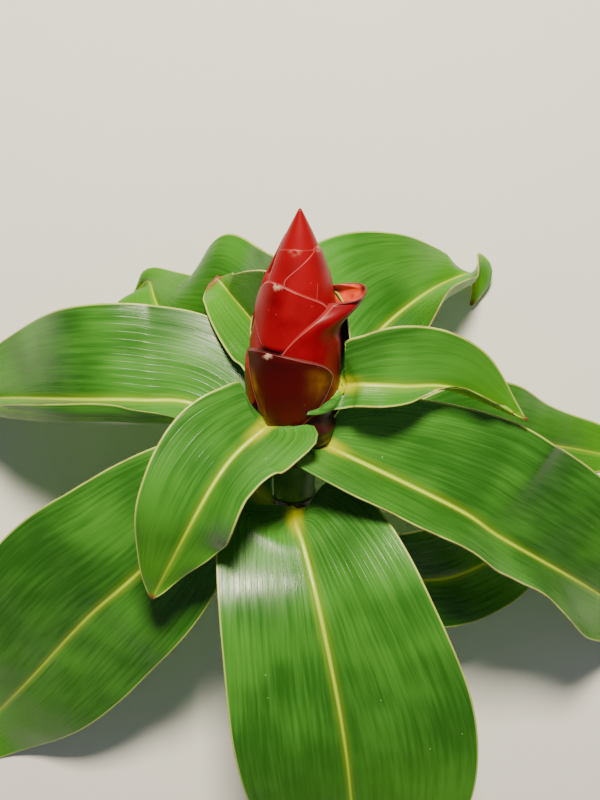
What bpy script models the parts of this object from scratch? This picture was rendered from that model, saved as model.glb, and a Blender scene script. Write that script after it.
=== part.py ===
"""Red ginger flower: one cut leafy cane with a red bract cone, lying on a table.

Lengths in the tables are millimetres and angles are degrees.  The cane lies with its cut
end and its lower leaves on the table (z = 0); +Y runs towards the tip of the cone.
"""
import math

import bmesh
import bpy
import numpy as np

MM = 0.001

# ---- driving dimensions -------------------------------------------------------------
CROWN_HEIGHT = 92.0      # height of the cane's axis where the upper leaves leave it
CANE_TILT = 23.0         # slope of the axis at the crown
CANE_LENGTH = 238.0      # from the crown down to the cut end
CANE_BEND_UP = 7.0       # how far the cut end has bent off the straight line, upwards
CANE_BEND_SIDE = -9.0    # and sideways
CANE_RADIUS = 6.6
CROWN_RADIUS = 8.2
NECK_FROM, NECK_TO = -1.0, 17.0
CONE_FROM, CONE_TO = 17.3, 107.0
CONE_LEAN = -3.0         # sideways set of the cone's foot against its tip
MIDDLE = (7.0, -63.0)    # plan position of the origin: the middle of the whole piece
GAP = 0.3                # clear distance between pieces that touch
BLADE = 0.7              # thickness of a leaf blade
KEEL = 2.6               # extra thickness of the midrib at the leaf's foot
PETIOLE = 2.6            # half width of the leaf's foot
LEAF_ROWS = 18
LEAF_STEPS = (0.0, 0.07, 0.3, 0.58, 0.82, 1.0)

_tilt = math.radians(CANE_TILT)
ALONG = np.array([0.0, math.cos(_tilt), math.sin(_tilt)])
FRONT = np.array([0.0, -math.sin(_tilt), math.cos(_tilt)])
RIGHT = np.array([1.0, 0.0, 0.0])
CROWN = np.array([0.0, 0.0, CROWN_HEIGHT])

# Radius of the cone's outer surface at distances along the axis.
CONE_AT = (12.0, 18.0, 24.0, 30.0, 38.0, 53.0, 69.0, 80.0, 86.0, 98.0, 107.0)
CONE_R = (9.5, 12.8, 16.4, 18.2, 18.8, 18.6, 15.6, 12.3, 9.9, 4.7, 0.5)


def smooth(x, lo=0.0, hi=1.0):
    x = np.clip((np.asarray(x, float) - lo) / (hi - lo), 0.0, 1.0)
    return x * x * (3.0 - 2.0 * x)


def axis_point(d):
    """Point of the cane's axis, d millimetres above the crown (negative: below)."""
    low = max(0.0, -d - 20.0) / (CANE_LENGTH - 20.0)
    bend = FRONT * CANE_BEND_UP * low ** 2 + RIGHT * CANE_BEND_SIDE * low ** 2
    lean = CONE_LEAN * smooth(d, 2.0, 22.0) * (1.0 - smooth(d, 25.0, 107.0))
    return CROWN + ALONG * d + bend + RIGHT * lean


def around(d, az, r):
    """Point at radius r from the axis; az 0 is the front, 90 the right-hand side."""
    a = math.radians(az)
    return axis_point(d) + r * (math.sin(a) * RIGHT + math.cos(a) * FRONT)


# ---- leaves -------------------------------------------------------------------------
# foot: distance along the cane, side of the cane it leaves from, radius
# mid: points of the midrib
# wide: greatest half width of the left and right blade, seen from foot to tip
# form: how slowly the blade widens from its foot and narrows to its tip
# fold: slope of each blade: at the midrib and margin near the foot, then near the tip
# turn: where along the leaf the slopes go over from foot to tip
# sweep: how far each blade reaches back at its foot; lobe: how far up, how sharply
# wave: height, count and start of the waves of each margin, and their sideways share
LEAVES = {
    "leaf_left": dict(
        foot=(0, -96, 8.6), mid=((-40, 20, 93), (-64, 22, 89), (-90, 20, 74),
                                 (-131, 14, 27), (-150, 8, 2), (-172, 1, -2)),
        wide=(29, 39), form=((0.6, 0.9), (0.6, 1.1)),
        fold=((52, 78, 35, 165), (-5, -15, 0, -10)), turn=(0.08, 0.38), sweep=(0.1, 0.1),
        wave=((1, 2, 0, 0), (2, 2.5, 60, 0))),
    "leaf_lower_left": dict(
        foot=(-24, -85, 8.3), mid=((-30, -14, 84), (-67, -52, 78), (-91, -76, 62),
                                   (-124, -116, 30), (-150, -146, 3), (-174, -170, -2)),
        wide=(36, 49), form=((0.75, 0.8), (0.7, 0.9)),
        fold=((12, 0, 12, -8), (10, 0, 10, -8)), sweep=(0.1, 0.0),
        wave=((1.5, 2, 0, 0), (1.5, 2, 60, 0))),
    "leaf_front_left": dict(
        foot=(16, -48, 12.6), mid=((-23, 6, 117), (-31, -5, 123), (-40, -18, 124),
                                   (-51, -40, 114), (-59, -56, 104)),
        wide=(17, 24), form=((0.25, 0.8), (0.4, 0.75)),
        fold=((20, 0, 20, -5), (20, 0, 15, -5)), sweep=(0.9, 0.35),
        wave=((1, 2, 0, 0), (1, 2, 60, 0))),
    "leaf_front": dict(
        foot=(-20, 8, 8.5), mid=((0, -26, 98), (2, -36, 106), (9, -62, 116),
                                 (16, -104, 110), (21, -143, 94), (25, -201, 62)),
        wide=(53, 46), form=((0.55, 0.7), (0.6, 0.75)),
        fold=((14, 0, 14, -6), (14, 0, 14, -6)), sweep=(0.45, 0.2),
        wave=((1, 2, 0, 0), (1, 2, 60, 0))),
    "leaf_right": dict(
        foot=(-6, 62, 8.9), mid=((30, -3, 100), (59, -19, 96), (90, -40, 74),
                                 (131, -72, 36), (162, -98, 3), (188, -118, -2)),
        wide=(44, 34), form=((0.55, 0.9), (0.55, 0.8)), turn=(0.35, 0.75),
        fold=((2, -4, 10, -6), (66, 84, 48, 40)), sweep=(0.25, 1.4), lobe=(0.25, 2),
        wave=((2, 2, 0, 0), (3, 2.5, 60, 0))),
    "leaf_upper_right": dict(
        foot=(14, 66, 11.7), mid=((23, 27, 110), (33, 31, 113), (46, 31, 115),
                                  (70, 24, 108), (90, 15, 98)),
        wide=(22, 19), form=((0.8, 0.8), (1.1, 0.9)),
        fold=((0, -16, 10, -6), (74, 70, 60, 110)), sweep=(0.0, 0.0),
        wave=((1, 2, 0, 0), (2, 2, 60, 0))),
    "leaf_back_right": dict(
        foot=(-4, 138, 8.6), mid=((22, 32, 66), (34, 47, 55), (52, 61, 38), (67, 69, 20),
                                  (79, 70, 8), (82, 57, 2)),
        wide=(36, 26), form=((1.6, 2.6), (1.0, 1.6)),
        fold=((12, 0, 10, -6), (30, 30, 50, 130)), sweep=(0.0, 0.0),
        wave=((2, 2, 0, 0), (1, 2, 60, 0))),
    "leaf_back_left": dict(
        foot=(-13, -128, 8.2), mid=((-27, 38, 55), (-46, 58, 33), (-62, 62, 14),
                                    (-74, 57, 1), (-84, 51, -2)),
        wide=(24, 29), form=((0.9, 0.9), (1.7, 1.7)),
        fold=((12, 0, 10, -6), (12, 0, 10, -6)), sweep=(0.0, 0.0),
        wave=((2, 2, 0, 0), (2.5, 4.0, 90, 1.2))),
    "leaf_back": dict(
        foot=(6, -160, 9.4), mid=((-14, 44, 78), (-25, 60, 71), (-35, 69, 62)),
        wide=(18, 20), form=((1.4, 0.8), (1.2, 0.7)),
        fold=((16, 0, 16, -6), (16, 0, 16, -6)), sweep=(0.0, 0.0),
        wave=((1, 2, 0, 0), (1, 2, 60, 0))),
    "leaf_far_right": dict(
        foot=(-32, 95, 8.0), mid=((36, -7, 68), (66, 1, 50), (106, -7, 23),
                                  (136, -15, 2), (160, -22, -2)),
        wide=(22, 20), form=((0.8, 0.8), (0.8, 0.9)),
        fold=((12, 0, 10, -6), (12, 0, 10, -6)), sweep=(0.0, 0.0),
        wave=((3, 2.2, 60, 1), (1, 2, 60, 0))),
    "leaf_lower_right": dict(
        foot=(-42, 40, 8.3), mid=((34, -56, 66), (65, -62, 47), (98, -53, 22),
                                  (120, -42, 2), (140, -31, -2)),
        wide=(26, 22), form=((0.8, 0.8), (0.8, 0.8)),
        fold=((12, 0, 10, -6), (12, 0, 10, -6)), sweep=(0.0, 0.0),
        wave=((1, 2, 0, 0), (1, 2, 60, 0))),
}


def curve(points, count):
    """Evenly spaced points on a smooth curve through the given ones."""
    p = np.array(points, float)
    p = np.vstack([2 * p[0] - p[1], p, 2 * p[-1] - p[-2]])
    out = []
    for i in range(1, len(p) - 2):
        t = np.linspace(0.0, 1.0, 40, endpoint=i == len(p) - 3)[:, None]
        a, b, c, d = p[i - 1], p[i], p[i + 1], p[i + 2]
        out.append(0.5 * (2 * b + (c - a) * t + (2 * a - 5 * b + 4 * c - d) * t ** 2
                          + (3 * b - a - 3 * c + d) * t ** 3))
    line = np.vstack(out)
    run = np.concatenate([[0.0], np.cumsum(np.linalg.norm(np.diff(line, axis=0), axis=1))])
    at = np.linspace(0.0, run[-1], count)
    return np.stack([np.interp(at, run, line[:, k]) for k in range(3)], axis=1), run[-1]


def unit(v):
    return v / np.linalg.norm(v, axis=-1, keepdims=True)


def leaf_frames(mid):
    """Along, side (to the left) and face directions at every point of the midrib."""
    along = unit(np.gradient(mid, axis=0))
    side = unit(np.cross(np.array([0.0, 0.0, 1.0]), along))
    return along, side, np.cross(along, side)


def half_width(s, greatest, form):
    """Half width of the blade: a narrow foot, a belly and a drawn-out tip."""
    m, n = form
    belly = m / (m + n)
    s = np.clip(s, 1e-4, 1.0 - 1e-4)
    full = greatest * (s / belly) ** m * ((1.0 - s) / (1.0 - belly)) ** n
    foot = smooth(s, 0.01, 0.08)
    return np.maximum(PETIOLE * (1.0 - foot) + full * foot, 0.5)


def blade(leaf, k, mid, frames, steps):
    """Lines of points from midrib to margin of the left (k 0) or right (k 1) blade."""
    along, side, face = frames
    s = np.linspace(0.0, 1.0, len(mid))
    width = half_width(s, leaf["wide"][k], leaf["form"][k])
    near_in, near_out, far_in, far_out = leaf["fold"][k]
    ease = smooth(s, *leaf.get("turn", (0.1, 0.6)))
    flat = 1.0 - smooth(s, 0.88, 1.0)
    inner = (near_in + (far_in - near_in) * ease) * flat
    outer = (near_out + (far_out - near_out) * ease) * flat
    height, count, start, share = leaf["wave"][k]
    lift = height * np.sin(2 * math.pi * count * s + math.radians(start))
    lift = lift * np.sin(math.pi * s) ** 0.5
    reach, power = leaf.get("lobe", (0.4, 1.0))
    back = leaf["sweep"][k] * (1.0 - smooth(s, 0.0, reach)) ** power
    side = side * (1.0, -1.0)[k]
    lines, out, up, last = [], np.zeros(len(s)), np.zeros(len(s)), 0.0
    for t in steps[1:]:
        for u in np.linspace(last, t, 13)[1:]:
            slope = np.radians(inner + (outer - inner) * u ** 1.2)
            out = out + width * (t - last) / 12 * np.cos(slope)
            up = up + width * (t - last) / 12 * np.sin(slope)
        last = t
        over = out + lift * share * t ** 2
        lines.append(mid + side * over[:, None] + face * (up + lift * t ** 2)[:, None]
                     - along * (back * width * t ** 1.5)[:, None])
    return lines


def leaf_face(leaf, rows, steps):
    """Upper face of a leaf as a grid of points, rows from foot to tip, left to right."""
    mid, length = curve((around(*leaf["foot"]),) + leaf["mid"], rows + 1)
    frames = leaf_frames(mid)
    left = blade(leaf, 0, mid, frames, steps)
    right = blade(leaf, 1, mid, frames, steps)
    return np.stack(left[::-1] + [mid] + right, axis=1), length


def off_the_axis(points, clear):
    """Push points out of the cane and the cone, so that leaves sit just off their skin."""
    flat = points.reshape(-1, 3).copy()
    clear = np.broadcast_to(clear[:, None], points.shape[:2]).reshape(-1)
    for i, p in enumerate(flat):
        d = float((p - CROWN) @ ALONG)
        if not -60.0 < d < CONE_TO:
            continue
        mid = axis_point(d)
        away = p - mid - ((p - mid) @ ALONG) * ALONG
        r = np.linalg.norm(away)
        skin = cane_radius(d) if d < CONE_FROM - 2.0 else cone_radius(d) + BRACT_STEP + 0.3
        if r < skin + clear[i]:
            flat[i] = p + away * ((skin + clear[i]) / r - 1.0)
    return flat.reshape(points.shape)


def leaf_solid(leaf, rows=LEAF_ROWS, steps=LEAF_STEPS):
    """Both faces of a leaf: the lower one keeps the blade's thickness and the midrib."""
    top, _ = leaf_face(leaf, rows, steps)
    s = np.linspace(0.0, 1.0, rows + 1)
    t = np.abs(np.array([-v for v in steps[:0:-1]] + list(steps)))[None, :]
    top = off_the_axis(top, GAP + (BLADE + 0.7 * KEEL) * smooth(s, 0.0, 0.08))
    down = unit(np.cross(np.gradient(top, axis=0), np.gradient(top, axis=1)))
    rib = KEEL * (0.12 + 0.88 * (1.0 - s[:, None]) ** 1.6) * (1.0 - smooth(t, 0.0, 0.22))
    stalk = KEEL * (1.0 - smooth(s[:, None], 0.01, 0.10)) * (1.0 - t ** 2)
    low = top + down * (BLADE + np.maximum(rib, stalk))[..., None]
    low = off_the_axis(low, np.full(rows + 1, GAP))
    low[..., 2] = np.maximum(low[..., 2], 0.0)
    top[..., 2] = np.maximum(top[..., 2], low[..., 2] + BLADE)
    return top, low


# ---- cane and cone --------------------------------------------------------------------
# Where old sheaths end on the bare part of the cane.
OLD_SHEATHS = (-200.0, -158.0, -118.0, -80.0)
SHEATH_STEP = 0.7        # how far a sheath's rim stands off the cane


def sheath_rims():
    feet = [leaf["foot"][0] - 5.0 for leaf in LEAVES.values() if leaf["foot"][0] < -6.0]
    return sorted(OLD_SHEATHS + tuple(feet))


def cane_radius(d):
    """Radius of the cane's skin: each sheath widens a little up to its rim."""
    r = np.interp(d, (-CANE_LENGTH, -120.0, -60.0, -20.0, 0.0, 8.0, 17.0),
                  (CANE_RADIUS, CANE_RADIUS, 7.0, 7.8, CROWN_RADIUS, 9.6, 12.2))
    rims = sheath_rims()
    above = [x for x in rims if x >= d]
    below = [x for x in rims if x < d]
    if above and below:
        share = (d - below[-1]) / (above[0] - below[-1])
        r += SHEATH_STEP * max(0.0, share) ** 2 * min(1.0, (above[0] - below[-1]) / 10.0)
    return float(r)


def cone_radius(d):
    return np.interp(d, CONE_AT, CONE_R)


# side: where the bract's point is; top: its height; reach: angle it covers to the left
# and right; drop: how far its rim falls on each side; foot: where it leaves the core;
# waist: how much of its width is left at its foot, on each side; step: how far its rim
# stands off the bract above it; sunk: how far its lower part lies under the cone's skin;
# open: how far its point bends out
BRACTS = (
    dict(side=-35, top=56, reach=(60, 80), drop=(6, 13), foot=21.5, waist=(0.0, 0.3),
         sunk=0.1),
    dict(side=140, top=46, reach=(62, 58), drop=(7, 9), foot=20, step=0.3),
    dict(side=-150, top=50, reach=(60, 60), drop=(7, 9), foot=20, step=0.3),
    dict(side=-106, top=46, reach=(62, 70), drop=(6, 6), foot=20, step=-0.25, sunk=0.3),
    dict(side=78, top=76, reach=(112, 66), drop=(20, 10), foot=26, open=12.5, sunk=0.3),
    dict(side=-36, top=80.5, reach=(54, 94), drop=(9, 12), foot=56, waist=(0.0, 0.5),
         sunk=0.35),
    dict(side=175, top=74, reach=(64, 64), drop=(8, 9), foot=34, sunk=0.5),
    dict(side=-140, top=85, reach=(60, 48), drop=(7, 8), foot=40, step=0.3, sunk=0.5),
    dict(side=66, top=92, reach=(95, 60), drop=(15, 8), foot=50, sunk=0.6),
    dict(side=-20, top=93.6, reach=(70, 66), drop=(2, 2), foot=55, step=0.5, sunk=0.7),
    dict(side=150, top=90, reach=(60, 60), drop=(6, 6), foot=52, step=0.4, sunk=0.7),
    dict(side=-150, top=98, reach=(60, 60), drop=(4, 4), foot=60, step=0.3, sunk=0.8),
)
BRACT_STEP = 0.8         # how far a bract's rim stands off the surface above it
BRACT_RUN = 12.0         # length over which it does so
BRACT_ROWS = (0.0, 0.3, 0.52, 0.68, 0.78, 0.86, 0.925, 0.97, 1.0)
BRACT_COLUMNS = (0.0, 0.35, 0.68, 0.9, 1.0)


def bract_reach(bract, k, d):
    """Angle that a bract covers at height d: a narrow foot, shoulders, then a point."""
    rise = bract["top"] - bract["drop"][k]
    point = np.clip((bract["top"] - d) / bract["drop"][k], 0.0, 1.0) ** 0.8
    waist = bract.get("waist", (0.3, 0.3))[k]
    climb = np.clip((d - bract["foot"]) / (rise - bract["foot"]), 0, 1) ** 0.8
    flank = np.maximum(waist + (1.0 - waist) * climb, 0.03)
    both = (np.maximum(point, 0.03) ** -6.0 + flank ** -6.0) ** (-1.0 / 6.0)
    return bract["reach"][k] * both


def bract_point(bract, p, q, inside):
    """Point of a bract: p runs from its left margin (-1) to the right, q from foot to tip."""
    top, foot = bract["top"], bract["foot"]
    d = foot + (top - foot) * q
    k = 0 if p < 0 else 1
    az = bract["side"] + p * bract_reach(bract, k, d)
    step = bract.get("step", BRACT_STEP)
    out = max(step * (1.0 - (top - d) / BRACT_RUN), min(step, -bract.get("sunk", 0.5)))
    bend = bract.get("open", 0.0) * float(smooth(q, 0.62, 1.0)) ** 1.6
    bend *= 1.0 - 0.45 * abs(p) ** 1.5
    r = cone_radius(d) + out + bend
    if inside:
        r = min(cone_radius(d) - 3.0 + 1.15 * bend, r - 1.1)
    return around(d, az, max(r, 0.4))


def core_radius(d):
    return max(float(cone_radius(d)) - 1.5 * (1.0 - float(smooth(d, 80.0, 94.0))), 0.4)


# ---- making the pieces ----------------------------------------------------------------
def mesh_object(name, points, faces, colour, roughness):
    mesh = bpy.data.meshes.new(name)
    mesh.from_pydata([((p[0] - MIDDLE[0]) * MM, (p[1] - MIDDLE[1]) * MM, p[2] * MM)
                      for p in np.asarray(points, float)], [], faces)
    mesh.update()
    made = bmesh.new()
    made.from_mesh(mesh)
    bmesh.ops.recalc_face_normals(made, faces=made.faces)
    bmesh.ops.triangulate(made, faces=[f for f in made.faces if len(f.verts) > 3])
    made.to_mesh(mesh)
    made.free()
    obj = bpy.data.objects.new(name, mesh)
    bpy.context.collection.objects.link(obj)
    material = bpy.data.materials.new(name)
    material.use_nodes = True
    shader = material.node_tree.nodes["Principled BSDF"]
    shader.inputs["Base Color"].default_value = (*colour, 1.0)
    shader.inputs["Roughness"].default_value = roughness
    mesh.materials.append(material)
    return obj


def two_sided(top, low):
    """Points and triangles of a closed sheet between two grids of the same shape."""
    rows, cols = top.shape[:2]
    points = np.vstack([top.reshape(-1, 3), low.reshape(-1, 3)])
    n = rows * cols
    faces = []
    for r in range(rows - 1):
        for c in range(cols - 1):
            a, b = r * cols + c, r * cols + c + 1
            d, e = a + cols, b + cols
            faces += [(a, d, e), (a, e, b), (n + a, n + e, n + d), (n + a, n + b, n + e)]
    rim = [c for c in range(cols)]
    rim += [r * cols + cols - 1 for r in range(1, rows)]
    rim += [(rows - 1) * cols + c for c in range(cols - 2, -1, -1)]
    rim += [r * cols for r in range(rows - 2, 0, -1)]
    for a, b in zip(rim, rim[1:] + rim[:1]):
        faces += [(a, b, n + b), (a, n + b, n + a)]
    return points, faces


def turned(distances, radius, count):
    """Closed solid round the axis; radius is a function of the distance."""
    points, faces = [], []
    for d in distances:
        for i in range(count):
            p = around(d, 360.0 * i / count, radius(d))
            p[2] = max(p[2], 0.0)
            points.append(p)
    last = (len(distances) - 1) * count
    for r in range(len(distances) - 1):
        for i in range(count):
            j = (i + 1) % count
            a, b = r * count + i, r * count + j
            faces += [(a, b, b + count), (a, b + count, a + count)]
    faces.append(tuple(range(count))[::-1])
    faces.append(tuple(range(last, last + count)))
    return points, faces


def make_leaf(name, leaf):
    points, faces = two_sided(*leaf_solid(leaf))
    return mesh_object(name, points, faces, (0.07, 0.25, 0.04), 0.35)


def make_cane():
    rims = sheath_rims()
    stations = [-CANE_LENGTH, NECK_FROM - GAP]
    for low, high in zip(rims, rims[1:]):
        stations += [low, low + 0.6, 0.5 * (low + high)]
    stations += [rims[-1], rims[-1] + 0.6, -CANE_LENGTH + 14.0]
    points, faces = turned(sorted(set(stations)), cane_radius, 20)
    return mesh_object("stem", points, faces, (0.10, 0.27, 0.05), 0.45)


def make_neck():
    points, faces = turned((NECK_FROM, 4.0, 9.0, 13.0, NECK_TO), cane_radius, 24)
    return mesh_object("neck", points, faces, (0.10, 0.01, 0.012), 0.4)


def make_cone():
    red = (0.55, 0.008, 0.012)
    heights = [CONE_FROM, 21, 25, 30, 38, 50, 62, 72, 80, 88, 94, 99, 103, CONE_TO]
    core = mesh_object("cone", *turned(heights, core_radius, 24), red, 0.35)
    bracts = bpy.data.collections.new("bracts")
    bpy.context.scene.collection.children.link(bracts)
    columns = [-c for c in BRACT_COLUMNS[:0:-1]] + list(BRACT_COLUMNS)
    for i, bract in enumerate(BRACTS):
        top = np.array([[bract_point(bract, p, q, False) for p in columns]
                        for q in BRACT_ROWS])
        low = np.array([[bract_point(bract, p, q, True) for p in columns]
                        for q in BRACT_ROWS])
        obj = mesh_object("bract_%02d" % i, *two_sided(top, low), red, 0.35)
        bracts.objects.link(obj)
        bpy.context.collection.objects.unlink(obj)
    fuse = core.modifiers.new("fuse", "BOOLEAN")
    fuse.operation = "UNION"
    fuse.solver = "EXACT"
    fuse.operand_type = "COLLECTION"
    fuse.collection = bracts
    depsgraph = bpy.context.evaluated_depsgraph_get()
    whole = bpy.data.meshes.new_from_object(core.evaluated_get(depsgraph))
    core.modifiers.clear()
    core.data = whole
    for obj in list(bracts.objects):
        bpy.data.objects.remove(obj)
    bpy.data.collections.remove(bracts)
    return core


def main():
    for obj in list(bpy.data.objects):
        bpy.data.objects.remove(obj)
    make_cane()
    make_neck()
    make_cone()
    for name, leaf in LEAVES.items():
        make_leaf(name, leaf)


main()
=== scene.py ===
"""Red ginger flower: a cut leafy cane with a red bract cone, laid on a pale table."""

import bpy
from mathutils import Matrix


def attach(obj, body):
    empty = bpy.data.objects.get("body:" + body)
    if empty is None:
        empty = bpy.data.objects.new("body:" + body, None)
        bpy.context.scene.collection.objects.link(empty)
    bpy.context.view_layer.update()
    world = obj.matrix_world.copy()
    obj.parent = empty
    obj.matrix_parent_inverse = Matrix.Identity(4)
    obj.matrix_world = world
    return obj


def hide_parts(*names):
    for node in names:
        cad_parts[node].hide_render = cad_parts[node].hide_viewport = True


bl_info = {
    "name": "Red ginger flower",
    "version": (1, 0, 0),
    "blender": (4, 5, 0),
    "location": "3D View > Sidebar > Flower",
    "description": "Dresses a cut red ginger flower: waved leaves, red bracts, neck and cane",
    "category": "Add Mesh",
}

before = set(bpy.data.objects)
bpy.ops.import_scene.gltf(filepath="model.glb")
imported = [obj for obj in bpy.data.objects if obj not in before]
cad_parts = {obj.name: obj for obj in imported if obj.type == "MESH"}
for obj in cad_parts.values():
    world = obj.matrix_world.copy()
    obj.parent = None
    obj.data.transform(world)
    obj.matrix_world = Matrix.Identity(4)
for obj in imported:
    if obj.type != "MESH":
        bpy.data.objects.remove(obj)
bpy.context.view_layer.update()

import math

import bpy
import numpy as np
from bpy.props import FloatProperty, FloatVectorProperty, IntProperty, PointerProperty
from mathutils import Matrix, Vector, noise

MM = 0.001
BODY = "root"

# ---- the plant's own dimensions, in millimetres and degrees --------------------------
CROWN_HEIGHT = 92.0      # height of the cane's axis where the upper leaves leave it
CANE_TILT = 23.0         # how steeply the cane rises towards the flower
CANE_LENGTH = 238.0      # from the crown down to the cut end
CANE_STRAIGHT = 20.0     # how far below the crown the cane starts to bend
CANE_BEND_UP = 7.0       # how far its cut end is bent up and to the right
CANE_BEND_SIDE = -9.0
CANE_RADIUS = 6.6
LAP = 0.8                # how far a sheath starts inside the one below it
CUT = ((0.93, 0.0), (0.8, 0.25), (0.4, 0.35))        # the cut face: share of radius, depth
MOUTH = ((0.35, -0.05), (0.75, 0.6), (1.1, 2.2))     # a sheath's mouth: inset, depth
# distance along the cane and side of the sheaths whose leaves are not there
RIMS = ((-200.0, 150.0), (-158.0, -80.0), (-118.0, -10.0), (-80.0, 100.0))
NECK_FROM, NECK_TO = -1.0, 26.0      # the neck runs on inside the cone's foot
CONE_FROM, CONE_TO = 17.3, 107.0
CONE_LEAN = -3.0         # how far the cone's foot stands to the right of the axis
CANE_LEAN = -2.3         # the same for the cane under the neck
MIDDLE = (7.0, -63.0)    # plan position of the origin
KEEL = 2.6               # extra thickness of the midrib at the leaf's foot
PETIOLE = 2.6            # half width of a leaf's stalk
SKIN_GAP = 0.3           # gap between a leaf and the cane or cone that it lies on
VEIN_BEND = 0.35         # share of the veins that leave the midrib beyond its foot
# distances along the axis, and the cone's radius there
CONE_AT = (12.0, 18.0, 24.0, 30.0, 38.0, 53.0, 69.0, 80.0, 86.0, 98.0, 107.0)
CONE_R = (9.5, 12.8, 16.4, 18.2, 18.8, 18.6, 15.6, 12.3, 9.9, 4.7, 0.5)

# foot: distance along the cane, side of the cane it leaves from, radius
# mid: points of the midrib
# wide: greatest half width of the left and right blade, seen from foot to tip
# form: how slowly the blade widens from its foot and narrows to its tip
# neck: share of the leaf's length in which its stalk widens into the blade
# ear: extra half width at the foot of the right blade, how steeply that part is raised,
#      and the share of the leaf's length it takes up
# fold: slope of each blade: at the midrib and margin near the foot, then near the tip
# turn: where along the leaf the slopes go over from foot to tip; calm: where they fade
# sweep: how far each blade reaches back at its foot; lobe: how far up, how sharply
# twist: how far the tip turns over, and where along the leaf that starts and ends
# wave: height, count and start of the waves of each margin, and their sideways share
# sink: how far the foot is pressed into the skin below it; snug: the same for the whole
#      left blade
PLAIN_SLOPE, PLAIN_WAVES = (12, 0, 10, -6), ((1, 2, 0, 0), (1, 2, 60, 0))
PLAIN_LEAF = dict(neck=0.08, ear=(0.0, 0.0, 1.0), fold=(PLAIN_SLOPE, PLAIN_SLOPE),
                  turn=(0.1, 0.6), calm=0.88, sweep=(0.0, 0.0), lobe=(0.4, 1.0),
                  twist=(0.0, 0.0, 1.0), wave=PLAIN_WAVES, sink=0.0, snug=0.0)
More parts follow.
